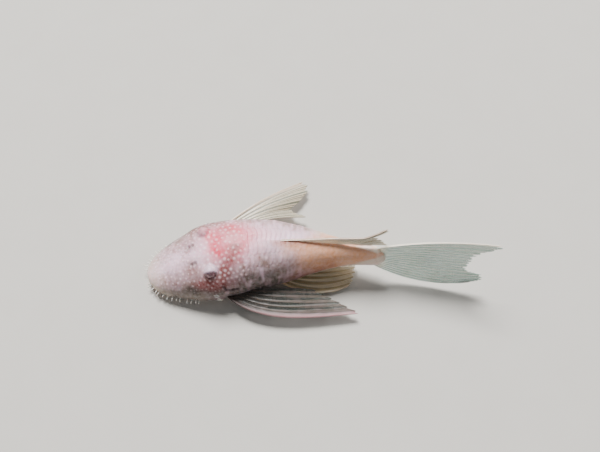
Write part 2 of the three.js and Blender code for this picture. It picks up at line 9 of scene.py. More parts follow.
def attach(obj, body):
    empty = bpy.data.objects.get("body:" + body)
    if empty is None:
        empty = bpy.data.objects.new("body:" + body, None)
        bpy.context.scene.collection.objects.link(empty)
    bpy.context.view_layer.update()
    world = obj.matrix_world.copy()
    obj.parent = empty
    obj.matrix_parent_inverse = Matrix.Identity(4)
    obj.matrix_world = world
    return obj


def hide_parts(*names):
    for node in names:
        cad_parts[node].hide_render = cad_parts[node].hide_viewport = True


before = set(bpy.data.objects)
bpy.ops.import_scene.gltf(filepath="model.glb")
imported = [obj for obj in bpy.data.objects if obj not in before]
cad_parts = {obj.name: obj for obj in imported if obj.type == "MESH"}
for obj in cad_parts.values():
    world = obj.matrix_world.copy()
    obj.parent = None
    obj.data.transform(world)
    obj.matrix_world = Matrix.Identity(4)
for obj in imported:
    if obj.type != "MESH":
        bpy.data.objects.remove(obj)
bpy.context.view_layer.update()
mm = 0.001
toTail, toRight, toTop = Vector((1, 0, 0)), Vector((0, 1, 0)), Vector((0, 0, 1))


# --- small helpers: curves and blends ---
def clamp(x, low=0.0, high=1.0):
    return max(low, min(high, x))


def smooth(x, low, high):
    t = clamp((x - low) / (high - low))
    return t * t * (3 - 2 * t)


def blend(a, b, t):
    return a + (b - a) * t


def bell(x, middle, width):
    return math.exp(-(((x - middle) / width) ** 2))


def track(points):
    # a smooth curve through the points that never overshoots them
    xs = [p[0] for p in points]
    ys = [p[1] for p in points]
    slopes = [(ys[i + 1] - ys[i]) / (xs[i + 1] - xs[i]) for i in range(len(xs) - 1)]
    tangents = []
    for i in range(len(xs)):
        before, after = slopes[max(i - 1, 0)], slopes[min(i, len(slopes) - 1)]
        flat = before * after <= 0
        tangents.append(0 if flat else 2 * before * after / (before + after))

    def curve(x):
        if x <= xs[0]:
            return ys[0]
        if x >= xs[-1]:
            return ys[-1]
        i = next(k for k in range(1, len(xs)) if xs[k] > x) - 1
        step = xs[i + 1] - xs[i]
        t = (x - xs[i]) / step
        return (
            ys[i] * (1 + 2 * t) * (1 - t) ** 2
            + tangents[i] * step * t * (1 - t) ** 2
            + ys[i + 1] * t * t * (3 - 2 * t)
            + tangents[i + 1] * step * t * t * (t - 1)
        )

    return curve


# --- the body's form: lengths are in millimetres, angles in degrees ---
body = {
    "length": 91.0,  # first section to tail root, along the spine
    "snoutReach": 1.9,  # the soft edge of the snout is drawn out ahead of that
    "snoutReachEnds": 16.0,
    "originAt": 39.25,  # the place along the spine that lies at the origin
    "headYaw": 11.5,
    "tailYaw": -8.0,
    "bend": (15.0, 85.0),  # the spine turns from one to the other between these
    "tailRoll": 14.0,
    "tailRolls": (58, 90),
    "chinHeight": 1.5,  # the chin is held this far off the floor, over the lips
    "chinEnds": (17, 22),
    "gillAt": 29.5,
    # distance from the snout: half width, height of the widest level, rise, drop
    "sections": {
        0: (0, 2.7, 0, 0),
        2: (6, 2.8, 2.5, 1.5),
        5: (9.2, 3, 4.6, 2),
        10: (12.2, 3.4, 7, 2.5),
        15: (14.3, 4, 8.8, 3.2),
        20: (15.9, 4.7, 10.1, 4.4),
        25: (16.3, 5.3, 10.8, 6),
        32: (15.8, 6, 11.9, 6.8),
        40: (15, 6.7, 11.8, 7.5),
        49: (13.6, 7.4, 11.1, 8.2),
        57: (11.4, 8.1, 9.9, 8.6),
        65: (8.8, 9.1, 8.2, 7.7),
        73: (6.3, 10.1, 6.4, 6.3),
        81: (4.2, 10.8, 5.1, 4.9),
        91: (2.6, 11.1, 4.6, 4.4),
    },
    "backSquareness": track([(0, 2), (20, 2.15), (45, 2.2), (90, 2.05)]),
    "bellySquareness": track([(0, 2.2), (15, 2.6), (55, 2.6), (90, 2.1)]),
}


def sectionCurve(index, squared):
    power = 2 if squared else 1
    curve = track([(at, row[index] ** power) for at, row in body["sections"].items()])
    return (lambda s: math.sqrt(max(curve(s), 0))) if squared else curve


halfWidth = sectionCurve(0, True)
level = sectionCurve(1, False)
rise = sectionCurve(2, True)
drop = sectionCurve(3, True)

# low swellings: over the eyes, on the cheeks and at the shoulders
swellings = (
    {"at": 23.1, "angle": 57, "height": 0.6, "along": 3.4, "around": 12},
    {"at": 25, "angle": 6, "height": 0.5, "along": 4.5, "around": 22},
    {"at": 34, "angle": 4, "height": 0.45, "along": 3.2, "around": 20},
)


def yawAt(s):
    return math.radians(blend(body["headYaw"], body["tailYaw"], smooth(s, *body["bend"])))


spineStep, spineSteps = 0.25, 240
spinePoints = {0: Vector((0, 0))}
for way in (-1, 1):
    at = Vector((0, 0))
    for n in range(1, spineSteps + 1):
        yaw = yawAt(body["originAt"] + way * (n - 0.5) * spineStep)
        at = at + way * spineStep * Vector((math.cos(yaw), math.sin(yaw)))
        spinePoints[way * n] = at


def spineAt(s):
    drawn = body["snoutReach"] * (1 - smooth(s, 0, body["snoutReachEnds"]))
    n = (s - drawn - body["originAt"]) / spineStep
    low = math.floor(n)
    return spinePoints[low].lerp(spinePoints[low + 1], n - low)


def place(s, aside, height):
    # from the distance along the spine, to the fish's right and up, to the frame
    roll = math.radians(body["tailRoll"] * smooth(s, *body["tailRolls"]))
    above = height - level(s)
    across = aside * math.cos(roll) + above * math.sin(roll)
    tall = level(s) - aside * math.sin(roll) + above * math.cos(roll)
    yaw, p = yawAt(s), spineAt(s)
    return Vector((p.x - math.sin(yaw) * across, p.y + math.cos(yaw) * across, tall))


def chinLevel(s):
    return body["chinHeight"] * (1 - smooth(s, *body["chinEnds"]))


def skinAt(s, angle):
    # the angle runs from the fish's right (0) over the back (90) to its left (180)
    a = math.radians(angle)
    c, d = math.cos(a), math.sin(a)
    square = body["backSquareness"](s) if d >= 0 else body["bellySquareness"](s)
    tall = rise(s) if d >= 0 else drop(s)
    wide, power = halfWidth(s), 2 / square
    aside = wide * math.copysign(abs(c) ** power, c)
    above = tall * math.copysign(abs(d) ** power, d)
    nx = math.copysign(abs(c) ** (2 - power), c) / max(wide, 0.5)
    ny = math.copysign(abs(d) ** (2 - power), d) / max(tall, 0.5)
    size = math.hypot(nx, ny)
    out = 0.0
    for w in swellings:
        beside = min(abs(angle - w["angle"]), abs(180 - angle - w["angle"]))
        far = ((s - w["at"]) / w["along"]) ** 2 + (beside / w["around"]) ** 2
        out += w["height"] * math.exp(-far)
    p = place(s, aside + nx / size * out, level(s) + above + ny / size * out)
    p.z = max(p.z, chinLevel(s))
    return p


def skinNormal(s, angle):
    along = skinAt(s + 0.2, angle) - skinAt(s - 0.2, angle)
    around = skinAt(s, angle + 1) - skinAt(s, angle - 1)
    return around.cross(along).normalized()


def addToScene(name, data):
    made = bpy.data.objects.new(name, data)
    bpy.context.scene.collection.objects.link(made)
    return made


def meshFrom(bm, name, material):
    mesh = bpy.data.meshes.new(name)
    bm.to_mesh(mesh)
    bm.free()
    mesh.materials.append(material)
    return mesh


def finishPiece(bm, name, material, nodes=()):
    # every piece is made in millimetres, and leaves here in metres
    for v in bm.verts:
        v.co *= mm
    bmesh.ops.recalc_face_normals(bm, faces=bm.faces)
    for face in bm.faces:
        face.smooth = True
    piece = addToScene(name, meshFrom(bm, name, material))
    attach(piece, "root")
    if nodes:
        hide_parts(*nodes)


# --- materials ---
def tint(code):
    parts = [int(code[i : i + 2], 16) / 255 for i in (0, 2, 4)]
    linear = [p / 12.92 if p <= 0.04045 else ((p + 0.055) / 1.055) ** 2.4 for p in parts]
    return (*linear, 1)


class Wire:
    # a node's output that can stand in a Python expression
    def __init__(self, paint, socket):
        self.paint = paint
        self.socket = socket

    def __add__(self, other):
        return self.paint.maths("ADD", self, other)

    def __mul__(self, other):
        return self.paint.maths("MULTIPLY", self, other)

    __radd__ = __add__
    __rmul__ = __mul__


class Paint:
    def __init__(self, name):
        self.material = bpy.data.materials.new(name)
        self.material.use_nodes = True
        self.tree = self.material.node_tree
        self.tree.nodes.clear()

    def node(self, kind, settings=None, values=None, output=0):
        made = self.tree.nodes.new(kind)
        for key, value in (settings or {}).items():
            setattr(made, key, value)
        for key, value in (values or {}).items():
            if isinstance(value, Wire):
                self.tree.links.new(value.socket, made.inputs[key])
            else:
                made.inputs[key].default_value = value
        return Wire(self, made.outputs[output]) if made.outputs else None

    def maths(self, operation, *values):
        return self.node("ShaderNodeMath", {"operation": operation}, dict(enumerate(values)))

    def mix(self, factor, a, b, how="MIX"):
        # a Mix node's colour sockets are its inputs 6 and 7 and its output 2
        settings = {"data_type": "RGBA", "blend_type": how, "clamp_factor": True}
        return self.node("ShaderNodeMix", settings, {0: factor, 6: a, 7: b}, output=2)

    def mask(self, name):
        return self.node("ShaderNodeAttribute", {"attribute_name": name}, output="Fac")

    def noise(self, scale, detail=3.0, roughness=0.55):
        where = self.node("ShaderNodeTexCoord", output="Object")
        values = {"Vector": where, "Scale": scale, "Detail": detail, "Roughness": roughness}
        return self.node("ShaderNodeTexNoise", values=values)

    def range(self, wire, low, high):
        # a soft step from 0 at low to 1 at high
        settings = {"interpolation_type": "SMOOTHSTEP"}
        return self.node("ShaderNodeMapRange", settings, {0: wire, 1: low, 2: high})

    def bump(self, height, strength, distance, under=None):
        values = {"Height": height, "Strength": strength, "Distance": distance}
        if under:
            values["Normal"] = under
        return self.node("ShaderNodeBump", values=values)

    def finish(self, values):
        shader = self.node("ShaderNodeBsdfPrincipled", values=values)
        self.node("ShaderNodeOutputMaterial", values={"Surface": shader})
        return self.material


skinColours = {
    "ground": "f9d3e9",  # lavender of head and back
    "glint": "f7ecee",  # pale grain over all of it
    "creaseShade": "a87c7a",  # seams are this much darker: painted shade in the plate seams, gill slits, nostril pits and eye openings
    # the patches laid over it in turn: tint, how solid, how far the clouds break it up
    "patches": {
        # painted shade: brown-grey over the flank, darker towards the bottom and heavier on the
        # left side
        "flank": ("886e64", 0.72, 0.28),
        "rose": ("98706c", 0.5, 0.5),  # darker net between the dots of the snout
        "cream": ("e2cfb8", 0.85, 0.1),  # naked edge of the snout
        "greyShade": ("3d372b", 0.64, 0.36),  # painted shade: dark cloudy patches low on the flank, the cheek and the snout
        "rust": ("dd9c72", 0.8, 0.2),  # hind body and tail root
        "litBlush": ("e22a4e", 0.75, 0.25),  # blood showing through over the gills, painted brightest on the lit upper right as painted light
        # painted shade: the same blood darker, low on the head and heavier on the left side
        "shadedBlush": ("7a2c27", 0.7, 0.3),
        # the tail's deeper red-brown, with painted shade low on the hind body and a painted shadow
        # under the dorsal fin base
        "deepRustAndShade": ("8a3d1c", 0.55, 0.4),
        "belly": ("e6cfc6", 0.86, 0.14),
        "browLight": ("d9d0ee", 0.6, 0.1),  # painted light: paler tops of the lids
        "dot": ("ffe2e9", 0.62, 0.18),
    },
    "clouds": 140.0,
    "grain": 900.0,
    "pores": 3200.0,
}


def skinPaint():
    paint = Paint("pleco-skin")
    coarse, fine = paint.noise(skinColours["clouds"], 4), paint.noise(skinColours["grain"], 3)
    cloud = paint.range(coarse, 0.35, 0.68)
    grain = paint.range(fine, 0.3, 0.7)
    colour = tint(skinColours["ground"])
    for name, (patchTint, solid, broken) in skinColours["patches"].items():
        share = paint.mask(name) * (cloud * broken + solid)
        colour = paint.mix(share, colour, tint(patchTint))
    # painted shade in the seams, gill slits, nostril pits and eye openings
    shadedCreases = paint.mix(1.0, colour, tint(skinColours["creaseShade"]), "MULTIPLY")
    colour = paint.mix(paint.mask("seam") * 0.4, colour, shadedCreases)
    colour = paint.mix(grain * 0.14, colour, tint(skinColours["glint"]))
    normal = paint.bump(fine, 0.3, 0.1 * mm)
    normal = paint.bump(paint.noise(skinColours["pores"], 2), 0.2, 0.03 * mm, normal)
    return paint.finish(
        {
            "Base Color": colour,
            "Roughness": 0.4 + grain * 0.2,
            "Normal": normal,
            "Specular IOR Level": 0.35,
            "Coat Weight": 0.12,
            "Coat Roughness": 0.3,
            "Subsurface Weight": 0.2,
            "Subsurface Radius": (1.0, 0.45, 0.32),
            "Subsurface Scale": 1.4 * mm,
        }
    )


finFinish = {"clouds": 260.0, "fibres": 1500.0, "joint": "9a8f82"}


def finPaint(name, web, ray, spine, webAlpha, root):
    # a see-through web between solid rays, with a fleshy root and first ray
    paint = Paint(name)
    coarse, fine = paint.noise(finFinish["clouds"], 3), paint.noise(finFinish["fibres"], 3)
    rays, spineMask = paint.mask("ray"), paint.mask("spine")
    colour = paint.mix(rays, tint(web), tint(ray))
    colour = paint.mix(paint.range(coarse, 0.35, 0.7) * 0.12, colour, tint(spine))
    colour = paint.mix(spineMask, colour, tint(spine))
    colour = paint.mix(paint.mask("joint") * 0.3, colour, tint(finFinish["joint"]))
    # the root tint: flesh on most fins, painted shade on the left pectoral fin
    colour = paint.mix(paint.mask("root"), colour, tint(root))
    thin = webAlpha + paint.range(coarse, 0.3, 0.75) * 0.14
    alpha = paint.maths("MAXIMUM", thin, rays * 0.9)
    alpha = paint.maths("MAXIMUM", alpha, paint.mask("fleshy"))
    return paint.finish(
        {
            "Base Color": colour,
            "Alpha": alpha,
            "Roughness": 0.34 + paint.range(fine, 0.3, 0.7) * 0.18,
            "Normal": paint.bump(fine, 0.2, 0.06 * mm),
            "Coat Weight": 0.2,
            "Coat Roughness": 0.2,
            # light from behind glows through the thin sheet
            "Subsurface Weight": 0.6,
            "Subsurface Radius": (1.0, 0.9, 0.8),
            "Subsurface Scale": 1.2 * mm,
        }
    )


def plainPaint(name, colour, patch, scale, roughness, coat=0.2, depth=0.1 * mm):
    # one colour clouded by another, for lips, bristles, barbels and teeth
    paint = Paint(name)
    cloud = paint.range(paint.noise(scale, 4), 0.35, 0.68)
    mixed = paint.mix(cloud * 0.6, tint(colour), tint(patch))
    return paint.finish(
        {
            "Base Color": mixed,
            "Roughness": roughness + cloud * 0.12,
            "Normal": paint.bump(paint.noise(scale * 6, 3), 0.3, depth),
            "Coat Weight": coat,
            "Subsurface Weight": 0.15,
            "Subsurface Radius": (1.0, 0.5, 0.35),
            "Subsurface Scale": 1 * mm,
        }
    )


eyeColours = {
    "iris": "96606c",
    "streak": "b8909c",
    "pupil": "5e303c",
    "ring": "b48c94",
    "white": "8a6672",
    "streaks": 1900.0,
}


def eyePaint():
    paint = Paint("pleco-eye")
    tints = {name: tint(eyeColours[name]) for name in ("iris", "streak", "pupil", "ring", "white")}
    streaks = paint.range(paint.noise(eyeColours["streaks"], 4, 0.7), 0.35, 0.65)
    iris = paint.mix(streaks * 0.45, tints["iris"], tints["streak"])
    colour = paint.mix(paint.mask("pupil") * 0.8, iris, tints["pupil"])
    colour = paint.mix(paint.mask("ring") * 0.5, colour, tints["ring"])
    colour = paint.mix(paint.mask("white"), colour, tints["white"])
    return paint.finish(
        {
            "Base Color": colour,
            "Roughness": 0.22 + streaks * 0.1,
            "Coat Weight": 1.0,
            "Coat Roughness": 0.03,
        }
    )


# the tail fin's own axes: back along the fin, and up it
caudal = {"yaw": body["tailYaw"], "rise": 4.0, "roll": 22.0}
finYaw, finRise, finRoll = (math.radians(caudal[key]) for key in ("yaw", "rise", "roll"))
finLevel = math.cos(finRise)
caudalBack = Vector(
    (math.cos(finYaw) * finLevel, math.sin(finYaw) * finLevel, math.sin(finRise))
)
caudalSide = Vector((0, math.sin(finRoll), math.cos(finRoll)))


# --- body skin: one grid wrapped round the fish ---
plates = {
    "length": 2.36,
    "rise": 0.15,
    "bulge": 0.75,
    "rows": (90, 68, 47, 27, 7, -16),  # row edges on the fish's right
    "stagger": (0, 0.45, 0.1, 0.55, 0.2),
    "straightBy": 62,  # where the rows no longer follow the curve of the gill
    "stepsAt": 0.86,  # share of a plate's length at which it steps down
    "groove": 0.04,  # between two rows
    "grooveWidth": 1.4,
    "keel": 0.05,
    "lowFade": (-6, 4),  # degrees from the lowest row's edge
    "tailFade": (46, 60),
}
nostril = {
    "s": 17.0,
    "angle": 76,
    "apart": 1.25,
    "radius": 0.66,
    "depth": 0.4,
    "wall": 0.12,  # height of the low wall round each pit
    "wallAt": 1.15,
}
eyes = {
    "s": 23.1,
    "aside": 8.9,
    "height": 13.4,
    "tilt": 26.0,  # how far up the eye looks
    "radius": 2.35,
    "lid": 2.85,  # radius of the lid's dome over the globe
    "soft": 0.9,  # how softly the dome runs into the head
    "opensAt": 1.0,  # how far out from the globe's middle the lid ends
    "opening": 2.3,  # half the length of the gap between the lids
    "narrow": 0.64,  # its height as a share of its length
    "rim": 0.26,
    "reach": 6.0,  # nothing changes further from the globe's middle than this
}
dots = {
    "from": 3.4,
    "to": 62.0,
    "step": 2.0,
    "angles": (-16, 196),
    "rowAngle": 7.9,
    "jitter": (0.4, 1.7),  # along the spine and round it
    "bareSnout": 21.0,  # none low on the snout as far back as this
    "thinsFrom": 46.0,
    "missing": 0.08,
    "apart": 1.6,
    "sizes": (0.46, 0.62),  # on the snout and behind the eyes
    "height": 0.12,
}
skinGrid = {"along": 410, "around": 240, "crowding": 1.35, "tailStarts": 0.965, "wedge": 3.4}
gill = {"width": 0.55, "depth": 0.85}


def eyeFrame(side):
    centre = place(eyes["s"], side * eyes["aside"], eyes["height"])
    yaw, tilt = yawAt(eyes["s"]), math.radians(eyes["tilt"])
    flat = Vector((-math.sin(yaw), math.cos(yaw), 0)) * side
    return centre, flat * math.cos(tilt) + toTop * math.sin(tilt)


eyeFrames = [eyeFrame(side) for side in (-1, 1)]


def fold(angle):
    # the same place on the fish's right side, and 1 on its left side
    angle = (angle + 90) % 360 - 90
    return (180 - angle, 1) if angle > 90 else (angle, 0)


def gillSeam(angle):
    d = math.sin(math.radians(angle))
    return body["gillAt"] + (6.5 if d > 0 else -2.5) * d * d


def plateHeight(s, angle):
    # a plate rises to its rear edge, then steps down; returns height and nearness to a seam, where
    # shade is painted
    half, _ = fold(angle)
    rows, length, start = plates["rows"], plates["length"], gillSeam(angle)
    fadesFrom, fadesTo = (rows[-1] + more for more in plates["lowFade"])
    if half < fadesFrom or s < start - 0.5:
        return 0.0, 0.0
    lowest = len(rows) - 2
    row = next((i for i in range(lowest) if half >= rows[i + 1]), lowest)
    wide = rows[row] - rows[row + 1]
    x = clamp((rows[row] - half) / wide)
    bow = plates["bulge"] * (1 - (2 * x - 1) ** 2)
    curved = 1 - smooth(s, body["gillAt"], plates["straightBy"])
    run = s - body["gillAt"] - (start - body["gillAt"]) * curved - bow
    run += plates["stagger"][row] * length
    number, share = math.floor(run / length), (run / length) % 1
    own = 0.75 + 0.25 * math.sin(number * 2.7 + row * 1.9)  # no two rise quite the same
    step = plates["stepsAt"]
    saw = smooth(share, 0, step) ** 0.8 if share < step else 1 - smooth(share, step, 1)
    ridgeRow = row == 0 and x < 0.5
    groove = 0 if ridgeRow else bell(min(x, 1 - x) * wide, 0, plates["grooveWidth"])
    keel = plates["keel"] * bell(x, 0.5, 0.2)
    height = plates["rise"] * saw * own + keel - plates["groove"] * groove
    seam = max(bell(share, 0.97, 0.08) * own, 0.3 * groove)
    fade = smooth(half, fadesFrom, fadesTo) * smooth(s, start, start + 4)
    fade *= 1 - 0.5 * smooth(s, *plates["tailFade"])
    return height * fade, seam * fade


def scatterDots():
    # each dot: its place, its size and how white it is
    draw = random.Random(41)
    (aside, turned), (lowest, highest) = dots["jitter"], dots["angles"]
    kept = []
    for row in range(int((highest - lowest) / dots["rowAngle"]) + 1):
        s = dots["from"] + (row % 2) * dots["step"] / 2
        while s < dots["to"]:
            at = s + draw.uniform(-aside, aside)
            angle = lowest + row * dots["rowAngle"] + draw.uniform(-turned, turned)
            s += dots["step"]
            half, _ = fold(angle)
            ahead, behind = dots["bareSnout"] - at, at - dots["thinsFrom"]
            if ahead > 0 and half < 20 + ahead * 0.5:
                continue
            if behind > 0 and draw.random() < behind / 20:
                continue
            if draw.random() < dots["missing"]:
                continue
            p = skinAt(at, angle)
            if all((p - other[0]).length > dots["apart"] for other in kept):
                size = blend(*dots["sizes"], smooth(at, 14, 27))
                size *= 1 - 0.4 * smooth(at, 34, 44)
                size *= 0.65 + 0.35 * smooth(half, 16, 52)
                strength = blend(0.85, 1, smooth(at, 16, 28)) * (1 - 0.7 * smooth(at, 33, 46))
                strength *= 0.36 + 0.64 * smooth(half, 20, 56)
                size *= draw.uniform(0.75, 1.2)
                kept.append((p, size, strength * draw.uniform(0.75, 1)))
    return kept


# marks on the skin, as paths of (distance from the snout, degrees up from the side)
bloodPath = ((34, 86), (32.5, 72), (29, 59), (27.5, 42), (23.5, 37), (19.5, 40))
gillPath = ((33.5, 12), (30.5, 13), (28.5, 17), (27.5, 26))


def pathDistance(s, half, path):
    # in millimetres; a degree round the neck is about a quarter of one
    degree = 0.26
    here, best = Vector((s, half * degree)), 99.0
    for a, b in zip(path, path[1:]):
        a, b = Vector((a[0], a[1] * degree)), Vector((b[0], b[1] * degree))
        share = clamp((here - a).dot(b - a) / (b - a).length_squared)
        best = min(best, (here - a.lerp(b, share)).length)
    return best


# soft spots of colour: strength, then middle and width along the spine and round it
spots = {
    "litBlush": ((1.9, (32, 7.2), (83, 26)), (0.5, (25, 3.4), (70, 13)), (0.3, (33, 11), (86, 34))),
    "neck": (0.25, (43, 8), (80, 12)),
    "gillCover": (0.6, (30.5, 4.5), (27, 13)),
    "cheek": (0.8, (24.5, 3.4), (32, 9)),
    "snoutSide": (0.4, (15, 3), (64, 8)),
    # painted shadow under the dorsal fin base
    "dorsalBaseShadow": (0.85, (57, 9), (85, 7)),
    "net": (1.3, (13, 11), (54, 34)),
}
# values for the right side and the left, where the two differ; the painted shade on the flank and
# over the gills is heavier on the left, and so is the painted light on the lid tops
sides = {"flank": (1.5, 1.9), "rustFrom": (58, 46), "shadedBlood": (0.45, 1), "browLight": (0.15, 0.55)}


def spotAt(s, turn, spot):
    strength, along, around = spot
    return strength * bell(s, *along) * bell(turn, *around)


def colourMasks(s, angle, p):
    # how much of each patch of skinColours shows at a point
    half, side = fold(angle)
    wobble = noise.noise(p * 0.22) * 0.5 + noise.noise(p * 0.55 + Vector((9, 2, 4))) * 0.3
    fleck = noise.noise(p * 1.15 + Vector((4, 0, 8)))
    # faint bands across the flank, one to a plate or two
    bands = noise.noise(Vector((s * 0.75, half * 0.04 + 30 * side, 3)))
    # painted shade: the flank darkens towards the bottom, more on the left side
    flank = clamp(sides["flank"][side] * (91 - half) / 70) * (1 - 0.6 * smooth(s, 66, 80))
    flank *= smooth(s, -5, 17) * (0.95 + 0.6 * wobble + 0.65 * bands)
    margin = (1 - smooth(half, 8, 42)) * (1 - smooth(s, 15, 24))
    cream = 0.75 * margin + 0.6 * (1 - smooth(s, 0, 9)) + smooth(s, 60, 74)
    # at the tail the coloured flesh ends in a point between pale edges
    edge = smooth(abs(half - 35), 8, 50)
    flesh = 1 - smooth(s, 90 - 9 * edge, 92.5 - 7 * edge)
    starts = sides["rustFrom"][side] + 0.15 * (90 - half) + 5 * wobble
    # deeper red-brown low on the hind body, partly painted shade, and a painted shadow along the
    # dorsal fin base on the left side only
    deepRustAndShade = smooth(s, 50, 64) * (1 - smooth(s, 68, 82)) * (1 - smooth(half, -10, 42))
    deepRustAndShade = deepRustAndShade * (0.9 + wobble) + spotAt(s, half, spots["dorsalBaseShadow"]) * side
    # painted light: the brightest blush lies a little to the right of the ridge, on the lit side
    flush = sum(spotAt(s, angle, spot) for spot in spots["litBlush"])
    # painted shade: the blood over the gills and cheek drawn darker, heavier on the left side
    shadedBlood = 0 if s > 42 else bell(pathDistance(s, half, bloodPath), 0, 3.4)
    shadedBlood = (shadedBlood + spotAt(s, half, spots["gillCover"])) * sides["shadedBlood"][side]
    shadedBlood = shadedBlood * (1 + 0.8 * wobble) + spotAt(s, half, spots["cheek"])
    net = spotAt(s, half, spots["net"]) * (0.5 + 0.6 * smooth(fleck, -0.2, 0.3))
    # painted shade, darker towards the bottom of the flank, the cheek and the snout
    lowest = 1 - smooth(half, 6, 58)
    greyShade = 1.25 * bell(s, 42, 14) * lowest * (0.85 + 1.6 * wobble + 0.6 * bands)
    greyShade += bell(s, 21, 10) * lowest * (0.85 + wobble)
    greyShade += 1.05 * bell(s, 12, 9) * (1 - smooth(half, 8, 60)) * (0.9 + wobble)
    shares = {
        "flank": flank,
        "cream": cream,
        "belly": 1 - smooth(half, -30, -14),
        "rust": smooth(s, starts, starts + 13) * flesh,
        "deepRustAndShade": deepRustAndShade,
        "litBlush": flush * (0.95 + 0.7 * wobble) + spotAt(s, angle, spots["neck"]),
        "shadedBlush": shadedBlood + spotAt(s, half, spots["snoutSide"]),
        "rose": net * (1 + wobble),
        "greyShade": greyShade,
    }
    return {name: clamp(share) for name, share in shares.items()}


def lidShape(p):
    # how the skin lies over a globe: a dome with an opening that looks out to the side
    shade, rim, soft, gap = 0.0, 0.0, eyes["soft"], eyes["opening"]
    for centre, out in eyeFrames:
        offset = p - centre
        far = offset.length
        if far > eyes["reach"]:
            continue
        away = offset.normalized()
        share = clamp(0.5 + 0.5 * (far - eyes["lid"]) / soft)
        p = centre + away * (blend(eyes["lid"], far, share) + soft * share * (1 - share))
        offset = p - centre
        outward = offset.dot(out)
        across = offset - out * outward
        upright = (toTop - out * out.z).normalized()
        tall = across.dot(upright)
        radial = math.hypot((across - upright * tall).length, tall / eyes["narrow"])
        inside = 1 - smooth(radial, gap - 0.3, gap + 0.15)
        inside *= smooth(outward, eyes["opensAt"] - 0.7, eyes["opensAt"])
        inside *= 1 - smooth(far, 3.2, 4.0)
        ring = bell(radial, gap + 0.35, 0.35) * smooth(outward, 0.2, 0.9)
        ring *= 0.45 + 0.55 * smooth(tall, -1, 1)
        p = p + away * (eyes["rim"] * ring)
        p = p.lerp(centre + away * (eyes["radius"] - 0.5), inside)
        shade, rim = max(shade, inside), max(rim, ring)
    return p, shade, rim


def browNear(p):
    # the pale top of each lid, painted as light falling from above
    return max(
        bell((p - centre).length, 2.9, 0.8) * smooth(p.z - centre.z, 0.6, 2)
        for centre, _ in eyeFrames
    )


def tailWedge(p, s, angle, capped):
    # the flesh runs out between the rays of the tail fin as a thin wedge
    middle = place(s, 0, level(s))
    tall = caudalSide * (p - middle).dot(caudalSide)
    flat = p - middle - tall
    reach = skinGrid["wedge"] * (1 - 0.8 * math.sin(math.radians(angle)) ** 2)
    p = middle + tall * (1 - 0.12 * capped**3) + flat * (1 - capped**1.3)
    p += caudalBack * reach * capped
    # the last ring closes to an upright line, a little shorter than the one before it
    return p.lerp(middle + caudalBack * reach, 0.02) if capped == 1 else p


def nostrilShape(p, pits):
    # height to add, nearness to a pit and the painted shade round it
    height, pit, shadeAndRootTint = 0.0, 0.0, 0.0
    for spot in pits:
        d = (p - spot).length
        if d < 3:
            pit = max(pit, bell(d, 0, nostril["radius"]))
            shadeAndRootTint = max(shadeAndRootTint, bell(d, 0, 1.25))
            height += nostril["wall"] * bell(d, nostril["wallAt"], 0.35)
    return height - nostril["depth"] * pit, pit, shadeAndRootTint


